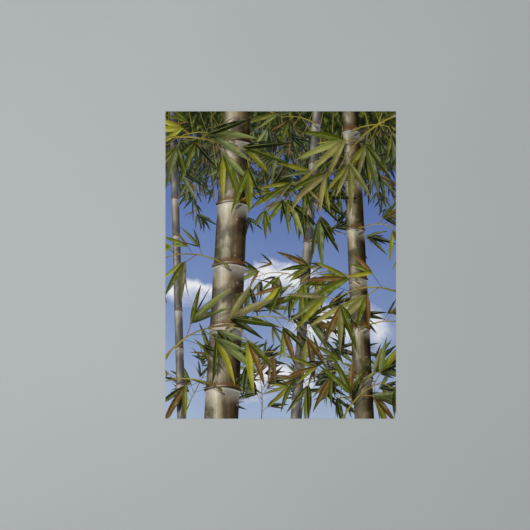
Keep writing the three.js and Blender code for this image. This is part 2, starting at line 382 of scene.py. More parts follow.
# %% Grow the twigs of a spray
BRANCH_STEPS = 6
FIRST_TWIG = 0.25
TWIG_LENGTH = 15 * MM
TWIG_REACH = (1, 1.7)
TWIG_SPREAD = 38
TWIG_OPENING = (1, 1.35)
SMALL_FAN = 3
FULL_FAN = 4


def grow_branch(spray):
    """The path of the branch that a spray's twigs stand on."""
    start, heading, length = spray["start"], spray["heading"], spray["length"]
    return bent_path(start, heading, length, spray["bend"], BRANCH_STEPS)


def grow_twigs(spray, branch):
    """Twigs to one side and the other in turn, each with its fan of large leaves."""
    draws = Draws(spray["seed"])
    twigs = []
    for index in range(spray["twigs"]):
        place = index + draws.between(0.5, 1)
        share = FIRST_TWIG + (1 - FIRST_TWIG) * place / spray["twigs"]
        side = 1 if index % 2 == 0 else -1
        turn = side * TWIG_SPREAD * draws.between(*TWIG_OPENING)
        heading = spray["heading"] + spray["bend"] * share + turn
        foot = point_along(branch, share)
        length = TWIG_LENGTH * spray["scale"] * draws.between(*TWIG_REACH)
        tip = step_from(foot, heading, length)
        count = FULL_FAN if draws.next() < spray["fullness"] else SMALL_FAN
        leaves = fan_leaves(draws, tip, heading, count, spray["scale"])
        twigs.append({"foot": foot, "tip": tip, "heading": heading, "leaves": leaves})
    return twigs


print("the first twig stands", FIRST_TWIG, "of the way along its branch, or further")

# %% [markdown]
# Between the twigs stand finer ones, dark because they lie behind. The solids leave them out. They
# could be scattered over the whole sheet, but leaves that don't grow from a branch look wrong, so
# they stand on the same branches.

# %% Add a fine twig
TIP_WIDTH = 1.1 * MM
FINE_SCALE = 0.62
FIRST_FINE_TWIG = 0.2
FINE_TWIG_TURN = (25, 60)
FINE_TWIG_REACH = (0.8, 2.2)
FINE_TWIG_TONE = 0.1
FINE_TWIG_SHADE = 0.2


def add_fine_twig(draws, spray, branch, index):
    """A short dark twig with small leaves, some of them turned edge on."""
    small = spray["scale"] * FINE_SCALE
    place = index + draws.next()
    share = FIRST_FINE_TWIG + (1 - FIRST_FINE_TWIG) * place / spray["fine_twigs"]
    foot = point_along(branch, share)
    side = 1 if draws.next() < 0.5 else -1
    heading = spray["heading"] + spray["bend"] * share + side * draws.between(*FINE_TWIG_TURN)
    length = TWIG_LENGTH * spray["scale"] * draws.between(*FINE_TWIG_REACH)
    tip = step_from(foot, heading, length)
    add_ribbon(spray["ink"], FINE_TWIG_TONE, [foot, tip], [TIP_WIDTH * small] * 2)
    for leaf in fan_leaves(draws, tip, heading, SMALL_FAN, small):
        tone = leaf_tone(draws, leaf["heading"], spray["brightness"] - FINE_TWIG_SHADE)
        leaf["width"] = slimmed(draws, leaf["width"])
        add_blade(spray["ink"], tone, **leaf)


print("the leaves of a fine twig have", FINE_SCALE, "of the usual size")

# %% [markdown]
# A spray is laid down from its far side to its near side: the fine twigs, then the branch with a
# dry bud where it starts, and then each twig with its leaves. Fine twigs and loose leaves have a
# row of draws of their own, so there can be more or fewer of them while the rest stays in place.

# %% Lay a spray down
BRANCH_WIDTH = 3 * MM
TWIG_WIDTH = 1.6 * MM
BUD_LENGTH = 17 * MM
BUD_WIDTH = 5.5 * MM
BUD_TONE = 0.95
BRANCH_TONE = 0.79
TWIG_TONE = 0.83
LOOSE_LEAF_SHADE = 0.1
FINE_SEED = 5000
USUAL_SPRAY = {"twigs": 4, "fullness": 0.3, "fine_twigs": 4, "loose_leaves": 2}


def add_branch(spray, branch):
    """The branch narrows towards its tip, and starts with a dry bud."""
    ink, scale = spray["ink"], spray["scale"]
    widths = [
        mix(BRANCH_WIDTH, TIP_WIDTH, step / BRANCH_STEPS) * scale
        for step in range(BRANCH_STEPS + 1)
    ]
    add_ribbon(ink, BRANCH_TONE, branch, widths)
    add_blade(ink, BUD_TONE, branch[0], spray["heading"], BUD_LENGTH * scale, BUD_WIDTH * scale, 0)


def add_twig(draws, spray, twig):
    """Loose leaves lie under the twig, and those of its fan over it."""
    ink, scale, brightness = spray["ink"], spray["scale"], spray["brightness"]
    for leaf in loose_leaves(draws, twig["tip"], twig["heading"], spray["loose_leaves"], scale):
        tone = leaf_tone(draws, leaf["heading"], brightness - LOOSE_LEAF_SHADE)
        add_blade(ink, tone, **leaf)
    ends = [twig["foot"], twig["tip"]]
    add_ribbon(ink, TWIG_TONE, ends, [TWIG_WIDTH * scale, TIP_WIDTH * scale])
    for leaf in twig["leaves"]:
        add_blade(ink, leaf_tone(draws, leaf["heading"], brightness), **leaf)


def add_spray(rule, **own):
    """What a spray has of its own comes before its rule, and the rule before the usual."""
    spray = {**USUAL_SPRAY, **rule, **own}
    branch = grow_branch(spray)
    draws = Draws(spray["seed"] + FINE_SEED)
    for index in range(spray["fine_twigs"]):
        add_fine_twig(draws, spray, branch, index)
    add_branch(spray, branch)
    for twig in grow_twigs(spray, branch):
        add_twig(draws, spray, twig)


print("a branch is", BRANCH_WIDTH / MM, "mm wide at its foot")

# %% [markdown]
# ## Composing the grove
# Each group of sprays follows one rule, which is a row of names and numbers. Some sprays hang over
# the upper edge or rise over the lower one, some grow from the rings of a culm, and a few large
# ones reach in from the sides. They could be placed one by one, but a rule lets a whole group be
# thinned or thickened by a single number.

# %% Rules for the sprays
SEED_STEP = 40

EDGE_SPRAYS = {
    "canopy": {"ink": "leaf_hanging", "count": 26, "seed": 900, "brightness": 0.15,
               "spread": 1.1, "beyond": 10, "heading": -90, "turn": 30, "length": 70,
               "longer": 160, "bend": 30, "scale": 0.5, "twigs": 5, "fullness": 0.8,
               "fine_twigs": 5},
    "hanging": {"ink": "leaf_hanging", "count": 7, "seed": 100, "brightness": 0.3,
                "spread": 1.05, "beyond": 14, "heading": -90, "turn": 14, "length": 120,
                "longer": 60, "bend": 24, "scale": 0.85, "twigs": 3, "fine_twigs": 6,
                "loose_leaves": 3},
    "low": {"ink": "leaf_low", "count": 6, "seed": 700, "brightness": 0.3,
            "spread": 1.04, "beyond": 12, "heading": 90, "turn": 26, "length": 95,
            "longer": 80, "bend": 40, "scale": 0.8, "fine_twigs": 9, "loose_leaves": 3},
}
CULM_SPRAYS = {
    "slim": {"ink": "leaf_slim", "seed": 200, "first_side": 0, "lean": 52, "bend": 72,
             "length": 105, "scale": 0.8, "twigs": 3, "brightness": 0.25},
    "left": {"ink": "leaf_left", "seed": 300, "first_side": 1, "lean": 54, "bend": 78,
             "length": 170, "scale": 1.15, "brightness": 0.45, "fine_twigs": 5},
    "right": {"ink": "leaf_right", "seed": 400, "first_side": 1, "lean": 56, "bend": 84,
              "length": 130, "scale": 0.95, "brightness": 0.4},
}
NEAR_SPRAY = {"ink": "leaf_near", "brightness": 0.55, "scale": 1.35, "loose_leaves": 1}
NEAR_SEED = 500
NEAR_PLACES = [
    {"x": -240, "z": 250, "heading": 12, "bend": -50, "length": 190},
    {"x": 236, "z": 300, "heading": 200, "bend": 45, "length": 170},
    {"x": 244, "z": -60, "heading": 150, "bend": 70, "length": 150},
    {"x": -232, "z": -190, "heading": 60, "bend": -75, "length": 180},
    {"x": 120, "z": -318, "heading": 75, "bend": -60, "length": 130},
]
print(len(EDGE_SPRAYS) + len(CULM_SPRAYS) + 1, "rules for sprays")

# %% [markdown]
# One function for each kind of rule turns it into sprays. Each spray has a seed of its own, so
# one can be redrawn without a change to any other.

# %% Sprays by rule
CULM_SPRAY_REACH = (0.9, 1.15)


def edge_sprays(rule):
    """Sprays spread evenly along an edge, which hang where they head down and rise otherwise."""
    side = -math.copysign(1, rule["heading"])
    for index in range(rule["count"]):
        draws = Draws(rule["seed"] + index)
        across = (index + 0.5) / rule["count"] - 0.5
        foot = side * (SHEET_HEIGHT / 2 + rule["beyond"] * MM)
        add_spray(
            rule,
            seed=rule["seed"] + SEED_STEP + index,
            start=(across * SHEET_WIDTH * rule["spread"], foot),
            heading=rule["heading"] + draws.between(-rule["turn"], rule["turn"]),
            length=(rule["length"] + draws.between(0, rule["longer"])) * MM,
            bend=draws.between(-rule["bend"], rule["bend"]),
        )


def culm_sprays(culm, rule):
    """One spray from each ring, to the left and to the right in turn."""
    for index, z in enumerate(ring_heights(culm)):
        side = 1 if index % 2 == rule["first_side"] else -1
        draws = Draws(rule["seed"] + index)
        add_spray(
            rule,
            seed=rule["seed"] + SEED_STEP + index,
            start=(culm_at(culm, z)[0], z),
            heading=90 - side * rule["lean"],
            length=rule["length"] * MM * draws.between(*CULM_SPRAY_REACH),
            bend=-side * rule["bend"],
        )


def near_sprays():
    """The large sprays in front, each at a place of its own."""
    for index, place in enumerate(NEAR_PLACES):
        add_spray(
            {**NEAR_SPRAY, **place},
            seed=NEAR_SEED + index,
            start=(place["x"] * MM, place["z"] * MM),
            length=place["length"] * MM,
        )


print(len(NEAR_PLACES), "sprays will reach in from the sides")

# %% [markdown]
# The rest of the picture is laid down from the back to the front: crowded sprays along the edges,
# slender culms with dark leaves, broad culms with their rings, the sprays that grow on them, and
# last the nearest sprays. Far leaves are small and bluish, and near ones are large and lit, which
# is what gives a flat sheet its depth.

# %% Compose from back to front
for rule in EDGE_SPRAYS.values():
    edge_sprays(rule)
for name in ("far", "slim"):
    add_culm(CULMS[name])
    add_rings(CULMS[name])
culm_sprays(CULMS["slim"], CULM_SPRAYS["slim"])
for name in ("right", "left"):
    add_culm(CULMS[name])
    add_rings(CULMS[name])
for name in ("left", "right"):
    culm_sprays(CULMS[name], CULM_SPRAYS[name])
near_sprays()
print(len(blades), "leaves and", len(ribbons), "stems, culms and rings")

# %% [markdown]
# ## Outlines by Geometry Nodes
# Each root becomes a leaf blade, and each path becomes a ribbon. Both could be drawn corner by
# corner in Python, but a node tree that instances one unit blade on every root says it once, and
# its shape can be tuned by two numbers. Small classes keep the trees short. The first stands for
# a node's output, and lets it be added or multiplied like a number.

# %% A value that can be added and multiplied
class Value:
    """A node's output. A sum or product of it adds the math node that works it out."""

    def __init__(self, tree, socket):
        self.tree = tree
        self.socket = socket

    def math(self, operation, *others):
        inputs = dict(enumerate((self, *others)))
        return self.tree.add("ShaderNodeMath", inputs, operation=operation)

    def __add__(self, other):
        return self.math("ADD", other)

    def __sub__(self, other):
        return self.math("SUBTRACT", other)

    def __mul__(self, other):
        return self.math("MULTIPLY", other)

    def __truediv__(self, other):
        return self.math("DIVIDE", other)


print("values can be added, subtracted, multiplied and divided")

# %% [markdown]
# The second class stands for a tree. In the node editor a node is added, then its settings are
# chosen, then its inputs are set or joined. Here one call does all three, so that a tree reads
# as a list of steps.

# %% Trees of nodes
class Tree:
    """A node tree to which each call adds one node."""

    def __init__(self, tree):
        self.tree = tree

    def node(self, kind, inputs=None, **settings):
        """An input is a plain value, another node's output, or a list of outputs to be joined."""
        node = self.tree.nodes.new(kind)
        for name, setting in settings.items():
            setattr(node, name, setting)
        for key, value in (inputs or {}).items():
            if isinstance(value, (Value, list)):
                for part in value if isinstance(value, list) else [value]:
                    self.tree.links.new(part.socket, node.inputs[key])
            else:
                node.inputs[key].default_value = value
        return node

    def add(self, kind, inputs=None, output=0, **settings):
        """Adds a node and gives back one of its outputs."""
        return Value(self, self.node(kind, inputs, **settings).outputs[output])

    def vector(self, x=0, y=0, z=0):
        """Joins three numbers into a vector."""
        return self.add("ShaderNodeCombineXYZ", {0: x, 1: y, 2: z})

    def axes(self, vector):
        """Parts a vector into its three numbers."""
        node = self.node("ShaderNodeSeparateXYZ", {0: vector})
        return [Value(self, socket) for socket in node.outputs]


print("a node is added in one call")

# %% [markdown]
# A geometry tree is a tree with named inputs, which are set like those of any modifier. It ends in
# real geometry that has its material. Running it gives a plain mesh and leaves no modifier
# behind, so nothing made later waits for the tree.

# %% Trees of geometry nodes
class GeometryTree(Tree):
    """A tree with a geometry input and output, and one more named input for each given kind."""

    def __init__(self, name, inputs):
        super().__init__(bpy.data.node_groups.new(name, "GeometryNodeTree"))
        kinds = {"Geometry": "Geometry", **inputs}
        new_socket = self.tree.interface.new_socket
        new_socket("Geometry", in_out="OUTPUT", socket_type="NodeSocketGeometry")
        for label, kind in kinds.items():
            new_socket(label, in_out="INPUT", socket_type="NodeSocket" + kind)
        outputs = self.node("NodeGroupInput").outputs
        self.given = {label: Value(self, outputs[label]) for label in kinds}

    def attribute(self, name):
        return self.add("GeometryNodeInputNamedAttribute", {"Name": name}, data_type="FLOAT")

    def store(self, geometry, name, value, kind, domain):
        inputs = {"Geometry": geometry, "Name": name, "Value": value}
        settings = {"data_type": kind, "domain": domain}
        return self.add("GeometryNodeStoreNamedAttribute", inputs, **settings)

    def finish(self, geometry):
        """Every tree ends with real geometry that has its material."""
        real = self.add("GeometryNodeRealizeInstances", {"Geometry": geometry})
        inputs = {"Geometry": real, "Material": self.given["Material"]}
        self.node("NodeGroupOutput", {"Geometry": self.add("GeometryNodeSetMaterial", inputs)})
        return self

    def run(self, values, points=((0, 0),), edges=(), columns=None):
        """Runs on bare points or edges that carry columns of numbers, and returns the mesh made."""
        mesh = bpy.data.meshes.new("carrier")
        mesh.from_pydata([(x, z, 0) for x, z in points], edges, [])
        for label, column in (columns or {}).items():
            kind = "INT" if label == "mark" else "FLOAT"
            mesh.attributes.new(label, kind, "POINT").data.foreach_set("value", column)
        carrier = new_object("carrier", mesh)
        modifier = carrier.modifiers.new(self.tree.name, "NODES")
        modifier.node_group = self.tree
        for item in self.tree.interface.items_tree:
            if item.in_out == "INPUT" and item.name in values:
                modifier[item.identifier] = values[item.name]
        bpy.context.view_layer.update()
        graph = bpy.context.evaluated_depsgraph_get()
        made = bpy.data.meshes.new_from_object(carrier.evaluated_get(graph))
        bpy.data.objects.remove(carrier)
        return made


print("a geometry tree can be built and run")

# %% [markdown]
# A blade is drawn once, at unit size: one half as a single many-sided face, and the other as its
# mirror image. Set on a root, it takes the root's heading, length and width. It is bent last,
# sideways by the square of the way along it, so that the midrib curves like a leaf under its own
# weight.

# %% The leaf blades
def half_blade(tree):
    """One half of a blade of unit size, from its base at the origin to its tip at X = 1."""
    stations = tree.given["Stations"]
    outline = tree.add("GeometryNodeMeshCircle", {"Vertices": stations * 2}, fill_type="NGON")
    going_out = tree.add("GeometryNodeInputIndex") / stations
    coming_back = going_out * -1 + 2
    along = going_out.math("MINIMUM", coming_back)
    bulge = along.math("POWER", tree.given["Widest place"])
    arch = (bulge * math.pi).math("SINE").math("MAXIMUM", 0)
    swell = arch.math("POWER", tree.given["Roundness"])
    side = swell * going_out.math("LESS_THAN", 1) * -0.5
    inputs = {"Geometry": outline, "Position": tree.vector(along, side)}
    return tree.add("GeometryNodeSetPosition", inputs)


def blade_tree():
    """One blade on every root, which is then bent."""
    tree = GeometryTree("leaf_blades", {
        "Stations": "Int", "Widest place": "Float", "Roundness": "Float", "Material": "Material",
    })
    right = half_blade(tree)
    left = tree.add("GeometryNodeTransform", {"Geometry": right, "Scale": (1, -1, 1)})
    left = tree.add("GeometryNodeFlipFaces", {"Mesh": left})
    right = tree.store(right, "half", 0, "INT", "FACE")
    left = tree.store(left, "half", 1, "INT", "FACE")
    unit = tree.add("GeometryNodeJoinGeometry", {"Geometry": [right, left]})
    run = tree.axes(tree.add("GeometryNodeInputPosition"))[0]
    unit = tree.store(unit, "run", run, "FLOAT", "POINT")

    heading = tree.attribute("heading")
    length = tree.attribute("length")
    leaves = tree.add("GeometryNodeInstanceOnPoints", {
        "Points": tree.given["Geometry"], "Instance": unit,
        "Rotation": tree.add("FunctionNodeEulerToRotation", {0: tree.vector(z=heading)}),
        "Scale": tree.vector(length, tree.attribute("width"), 1),
    })
    leaves = tree.add("GeometryNodeRealizeInstances", {"Geometry": leaves})

    run = tree.attribute("run")
    reach = tree.attribute("bend") * length * (run * run)
    normal = tree.vector(heading.math("SINE") * -1, heading.math("COSINE"))
    droop = tree.add("ShaderNodeVectorMath", {0: normal, "Scale": reach}, operation="SCALE")
    inputs = {"Geometry": leaves, "Offset": droop}
    return tree.finish(tree.add("GeometryNodeSetPosition", inputs))


leaf_blades = blade_tree()
print("the blade tree has", len(leaf_blades.tree.nodes), "nodes")

# %% [markdown]
# A stem, culm or ring is a path with a width. The path becomes a curve, and a short straight line
# is swept along it, scaled by half the width at each point. A tube would need a round profile, but
# a print shows only its outline, and a flat ribbon has the same.

# %% The ribbons
def ribbon_tree():
    """A flat strip along every path."""
    tree = GeometryTree("ribbons", {"Material": "Material"})
    curve = tree.add("GeometryNodeMeshToCurve", {"Mesh": tree.given["Geometry"]})
    curve = tree.add("GeometryNodeSetCurveNormal", {"Curve": curve}, mode="Z_UP")
    line = tree.add("GeometryNodeCurvePrimitiveLine", {"Start": (-1, 0, 0), "End": (1, 0, 0)})
    half_width = tree.attribute("width") * 0.5
    inputs = {"Curve": curve, "Profile Curve": line, "Scale": half_width}
    return tree.finish(tree.add("GeometryNodeCurveToMesh", inputs))


stem_ribbons = ribbon_tree()
print("the ribbon tree has", len(stem_ribbons.tree.nodes), "nodes")

# %% [markdown]
# Both trees start from bare points or edges that carry numbers as attributes: heading, length,
# width and bend at the root of a leaf, and the width at each point of a path. Every outline also
# keeps the number of its mark, so that it is known again after the cut.

# %% Turn the roots and paths into outlines
LEAF_STATIONS = 8
WIDEST_PLACE = 0.7
ROUNDNESS = 0.9

plain = bpy.data.materials.new("plain")
labels = ("mark", "heading", "length", "width", "bend")
blade_mesh = leaf_blades.run(
    {"Stations": LEAF_STATIONS, "Widest place": WIDEST_PLACE, "Roundness": ROUNDNESS,
     "Material": plain},
    [blade["root"] for blade in blades],
    columns={label: [blade[label] for blade in blades] for label in labels},
)

path_points, path_edges = [], []
columns = {"mark": [], "width": []}
for ribbon in ribbons:
    first = len(path_points)
    path_points += ribbon["path"]
    path_edges += [(index, index + 1) for index in range(first, len(path_points) - 1)]
    columns["mark"] += [ribbon["mark"]] * len(ribbon["path"])
    columns["width"] += ribbon["widths"]
ribbon_mesh = stem_ribbons.run({"Material": plain}, path_points, path_edges, columns)
print(len(blade_mesh.polygons), "half blades and", len(ribbon_mesh.polygons), "stretches of ribbon")

# %% [markdown]
# ## One flat layer of ink
# Printed ink has no thickness to speak of, and inks lie side by side, not in heaps. So the
# outlines are cut by one another into cells, like the pieces of a stained window, and each cell
# goes to the mark that lies on top there. First the outlines are read back from the two meshes.
# The nearer leaves also cast a shadow. No lamp can cast it, because on a print nothing stands in
# front of anything else, so it is a copy of their outline, moved down and to the side.

# %% Collect outlines and shadows
SHADOW_SHIFT = Vector((5 * MM, -8 * MM))
SHADOW_INKS = ("leaf_left", "leaf_right", "leaf_near", "leaf_slim")
SMALLEST_FACE = 1e-10
CLOUD_CORNERS = 40


def read_outlines(mesh):
    """The mark, the half and the corners of every face, all turned the same way round."""
    owners = mesh.attributes["mark"].data
    halves = mesh.attributes.get("half")
    rows = []
    for polygon in mesh.polygons:
        if polygon.area < SMALLEST_FACE:
            continue
        corners = [mesh.vertices[index].co.xy for index in polygon.vertices]
        if polygon.normal.z < 0:
            corners.reverse()
        half = halves.data[polygon.index].value if halves else 0
        mark = owners[polygon.vertices[0]].value
        rows.append({"mark": mark, "half": half, "shadow": False, "corners": corners})
    return rows


def cloud_outline(cloud):
    """An oval, drawn as a ring of short straight sides."""
    corners = []
    for step in range(CLOUD_CORNERS):
        angle = 2 * math.pi * step / CLOUD_CORNERS
        reach = (math.cos(angle) * cloud["size"][0], math.sin(angle) * cloud["size"][1])
        corners.append(Vector(cloud["middle"]) + Vector(reach))
    return {"mark": cloud["mark"], "half": 0, "shadow": False, "corners": corners}


def shadow_of(row):
    """The same outline, shifted, which only darkens what it covers."""
    corners = [corner + SHADOW_SHIFT for corner in row["corners"]]
    return {"mark": row["mark"], "half": 0, "shadow": True, "corners": corners}


outlines = [cloud_outline(cloud) for cloud in clouds]
outlines += read_outlines(blade_mesh) + read_outlines(ribbon_mesh)
shadows = [shadow_of(row) for row in outlines if marks[row["mark"]]["ink"] in SHADOW_INKS]
print(len(outlines), "outlines and", len(shadows), "shadows")

# %% [markdown]
# Thousands of booleans, one for each outline, would be slow and could fail. A constrained
# triangulation makes the whole cut in one call: it takes all the outlines and says for each cell
# which of them cover it. The mark, the half of the blade and the depth of shadow then make one
# number, the region of the cell.

# %% Cut the outlines into cells
JOIN_DISTANCE = 2e-6
TRIANGLES_INSIDE = 1
HALVES = 2
DARKEST_SHADE = 2
SHADES = DARKEST_SHADE + 1
SKY_REGION = 0
CORNERS = ((-1, -1), (1, -1), (1, 1), (-1, 1))


def region_of(cover, shapes):
    """One number for the mark, the half and the shade of a cell, from the shapes that cover it."""
    covering = [shapes[index - 1] for index in cover if index > 0]
    drawn = [shape for shape in covering if not shape["shadow"]]
    if not drawn:
        return SKY_REGION
    top = max(drawn, key=lambda shape: shape["mark"])
    casting = {shape["mark"] for shape in covering if shape["shadow"]}
    if marks[top["mark"]]["ink"] == "cloud":
        casting = set()
    shade = sum(1 for mark in casting if mark > top["mark"])
    return (top["mark"] * HALVES + top["half"]) * SHADES + min(shade, DARKEST_SHADE)


def mark_and_shade(region):
    """Takes a region's number apart again."""
    return region // (HALVES * SHADES), region % SHADES


def ink_of(region):
    return marks[mark_and_shade(region)[0]]["ink"]


def cut_into_cells(shapes):
    """The points, and the cells inside the sheet, each with its corners and its region."""
    points = [Vector((x * SHEET_WIDTH / 2, z * SHEET_HEIGHT / 2)) for x, z in CORNERS]
    faces = [[0, 1, 2, 3]]
    for shape in shapes:
        faces.append(list(range(len(points), len(points) + len(shape["corners"]))))
        points += shape["corners"]
    cut = delaunay_2d_cdt(points, [], faces, TRIANGLES_INSIDE, JOIN_DISTANCE, True)
    points, _, triangles, _, _, covers = cut
    cells = [
        (corners, region_of(cover, shapes))
        for corners, cover in zip(triangles, covers) if 0 in cover
    ]
    return points, cells


points, cells = cut_into_cells(outlines + shadows)
print(len(points), "points and", len(cells), "cells")

# %% [markdown]
# That cut leaves ten times more cells than are needed, because every outline splits all that lies
# under it, even where it can't be seen. So the cells of a region are joined again, and the region
# is then cut into as few triangles as its own outline needs.

# %% Join the cells of each region
STRAIGHT = math.radians(0.5)


def join_cells(points, cells):
    """One flat mesh, whose faces know their region."""
    corners, regions = zip(*cells)
    mesh = bpy.data.meshes.new("cells")
    mesh.from_pydata([(point.x, point.y, 0) for point in points], [], corners)
    mesh.attributes.new("region", "INT", "FACE").data.foreach_set("value", regions)
    work = bmesh.new()
    work.from_mesh(mesh)
    region = work.faces.layers.int["region"]
    for edge in work.edges:
        edge.seam = len({face[region] for face in edge.link_faces}) > 1
    bmesh.ops.dissolve_limit(
        work, angle_limit=STRAIGHT, verts=work.verts, edges=work.edges, delimit={"SEAM"},
    )
    bmesh.ops.triangulate(work, faces=work.faces)
    loose = [vert for vert in work.verts if not vert.link_faces]
    bmesh.ops.delete(work, geom=loose, context="VERTS")
    for edge in work.edges:
        edge.seam = False
    work.to_mesh(mesh)
    work.free()
    return mesh


joined = join_cells(points, cells)
print(len(joined.vertices), "points and", len(joined.polygons), "cells")

# %% [markdown]
# ## Places on a leaf
# A finish that follows a leaf has to know where on the leaf it is: how far across, from edge to
# edge, and how far along, from base to tip. A blade was bent by a simple rule, so the rule can be
# turned round to find both. For a ribbon the nearest stretch of its path gives them, and for a
# culm the rings are counted as well.

# %% Find a place across and along a mark
def place_on_blade(blade, point):
    """Across goes from -1 to 1, and along from 0 to 1."""
    away = point - Vector(blade["root"])
    heading = Vector((math.cos(blade["heading"]), math.sin(blade["heading"])))
    run = away.dot(heading) / blade["length"]
    droop = blade["bend"] * blade["length"] * run * run
    side = heading.cross(away) - droop
    return 2 * side / blade["width"], run


def place_on_ribbon(ribbon, point):
    path, widths = ribbon["path"], ribbon["widths"]
    best = None
    for step in range(len(path) - 1):
        start, end = Vector(path[step]), Vector(path[step + 1])
        stretch = end - start
        share = min(max((point - start).dot(stretch) / stretch.length_squared, 0), 1)
        away = point - start - stretch * share
        if best is None or away.length < best[0]:
            side = away.cross(stretch.normalized())
            half = mix(widths[step], widths[step + 1], share) / 2
            best = (away.length, side / half, (step + share) / (len(path) - 1))
    return best[1], best[2]


def place_on_culm(ribbon, point):
    """Along counts the rings, so its fraction says how far a point is from one ring to the next."""
    culm = ribbon["culm"]
    across, _ = place_on_ribbon(ribbon, point)
    return across, (point.y / MM - culm["first_ring"]) / culm["ring_gap"]


print("the root of the first leaf is at", place_on_blade(blades[0], Vector(blades[0]["root"])))

# %% [markdown]
# For baking, every piece also needs a flat layout that doesn't overlap itself. Blender can unwrap
# a piece by itself, but here that would scatter thousands of small islands. The sheet as it is
# seen from the front is a better layout, and it is already known.

# %% A layout for baking, and a way to find each mark's places
def place_on_sheet(point):
    return point.x / SHEET_WIDTH + 0.5, point.y / SHEET_HEIGHT + 0.5


def lay_flat(mesh):
    """The layer for baking of a piece that isn't made of cells."""
    layer = mesh.uv_layers.new(name="OFBake").data
    for loop in mesh.loops:
        layer[loop.index].uv = place_on_sheet(mesh.vertices[loop.vertex_index].co.xz)


finders = {}
for blade in blades:
    finders[blade["mark"]] = functools.partial(place_on_blade, blade)
for ribbon in ribbons:
    find = place_on_culm if ribbon["culm"] else place_on_ribbon
    finders[ribbon["mark"]] = functools.partial(find, ribbon)
print(len(finders), "marks have places of their own")

# %% [markdown]
# ## Pieces of ink
# Each ink is one piece, and its cells are taken out of the joined sheet. They get three UV layers:
# the place on the sheet for baking, the place across and along a mark, and the mark's tone with
# the depth of shadow on it. Each leaf could have a material of its own colour instead, but there
# are thousands of leaves, and one layer does it for all.

# %% Take out the cells of an ink
def cells_of(ink):
    """The cells of one ink, still flat, with the values that its finish reads."""
    work = bmesh.new()
    work.from_mesh(joined)
    region = work.faces.layers.int["region"]
    others = [face for face in work.faces if ink_of(face[region]) != ink]
    bmesh.ops.delete(work, geom=others, context="FACES")
    layers = [work.loops.layers.uv.new(label) for label in ("OFBake", "Blade", "Tone")]
    for face in work.faces:
        mark, shade = mark_and_shade(face[region])
        tone = (marks[mark]["tone"], shade / DARKEST_SHADE)
        find = finders.get(mark, place_on_sheet)
        for loop in face.loops:
            point = loop.vert.co.xy
            places = (place_on_sheet(point), find(point), tone)
            for layer, place in zip(layers, places):
                loop[layer].uv = place
    work.faces.layers.int.remove(region)
    return work


print("inks:", sorted({mark["ink"] for mark in marks}))

# %% [markdown]
# A coat of ink is a sixteenth of a millimetre thick. Extruding the cells forward gives them that
# thickness and closes them all round. Cells that touch at a corner only are parted first, or the
# piece would not be closed there. Together the inks fill the sheet without a gap or an overlap.

# %% Make a piece of each ink
def ink_piece(ink):
    """A closed piece, from the front of the film to the front of the ink."""
    work = cells_of(ink)
    bmesh.ops.split_edges(work, edges=[edge for edge in work.edges if edge.is_boundary])
    for vert in work.verts:
        vert.co = (vert.co.x, FILM_FRONT, vert.co.y)
    raised = bmesh.ops.extrude_face_region(work, geom=work.faces[:])["geom"]
    for part in raised:
        if isinstance(part, bmesh.types.BMVert):
            part.co.y = INK_FRONT
    mesh = bpy.data.meshes.new(ink + "_print")
    work.to_mesh(mesh)
    work.free()
    return new_object(ink + "_print", mesh)


INK_NODES = {
    "sky": ["sky_coat"],
    "cloud": ["cloud_"],
    "far_culm": ["culm_far", "culm_slim"],
    "culm": ["culm_right", "culm_left"],
    "ring": ["ring_"],
    "leaf_hanging": ["leaves_hanging_"],
    "leaf_low": ["leaves_low_"],
    "leaf_slim": ["leaves_slim_"],
    "leaf_left": ["leaves_left_"],
    "leaf_right": ["leaves_right_"],
    "leaf_near": ["leaves_near_"],
}

prints = {ink: ink_piece(ink) for ink in INK_NODES}
for ink, piece in prints.items():
    print(piece.name, len(piece.data.polygons), "faces")

# %% [markdown]
# ## Finishes
# The inks are matte, and what makes the picture is their colour. Each finish is a short row of
# steps on the place across and along a mark, with fine noise on top, so that it stays sharp at
# any distance. The helpers below name the steps.

# %% Steps on a colour
def rgb(red, green, blue):
    """A colour given as a screen shows it, from 0 to 255, by the screen's standard curve."""
    linear = []
    for value in (red, green, blue):
        share = value / 255
        linear.append(share / 12.92 if share <= 0.04045 else ((share + 0.055) / 1.055) ** 2.4)
    return (*linear, 1)


def fade(value, start, end, low=0, high=1):
    """Goes smoothly from low to high as the value goes from start to end."""
    inputs = {0: value, 1: start, 2: end, 3: low, 4: high}
    return value.tree.add("ShaderNodeMapRange", inputs, interpolation_type="SMOOTHSTEP")


def ramp(value, stops):
    """Goes from colour to colour as the value passes each position."""
    node = value.tree.node("ShaderNodeValToRGB", {0: value})
    elements = node.color_ramp.elements
    while len(elements) < len(stops):
        elements.new(1)
    for element, (position, colour) in zip(elements, stops):
        element.position = position
        element.color = colour
    return Value(value.tree, node.outputs[0])


def blend(colour, factor, other, kind="MIX"):
    """At factor 0 the colour stays, and at factor 1 the other takes its place."""
    tree = next(part.tree for part in (colour, factor) if isinstance(part, Value))
    inputs = {0: factor, 6: colour, 7: other}
    return tree.add("ShaderNodeMix", inputs, output=2, data_type="RGBA", blend_type=kind)


def tint(colour, mask, amount, pigment):
    """Lays a pigment over a colour, by no more than an amount, where the mask is 1."""
    return blend(colour, mask * amount, pigment)


def brighten(colour, value):
    """Multiplies a colour by one value."""
    grey = value.tree.add("ShaderNodeCombineColor", {0: value, 1: value, 2: value})
    return blend(grey, 1, colour, "MULTIPLY")


print("middle grey is", round(rgb(128, 128, 128)[0], 3), "in linear light")

# %% [markdown]
# A finish is a new material and its node tree. It knows how to lay noise over a piece, how to read
# a UV layer, and how to end in a matte shader. Everything printed ends in the same thin coat of
# ink, which has a fine grain and takes on a little of the painted wall below it.

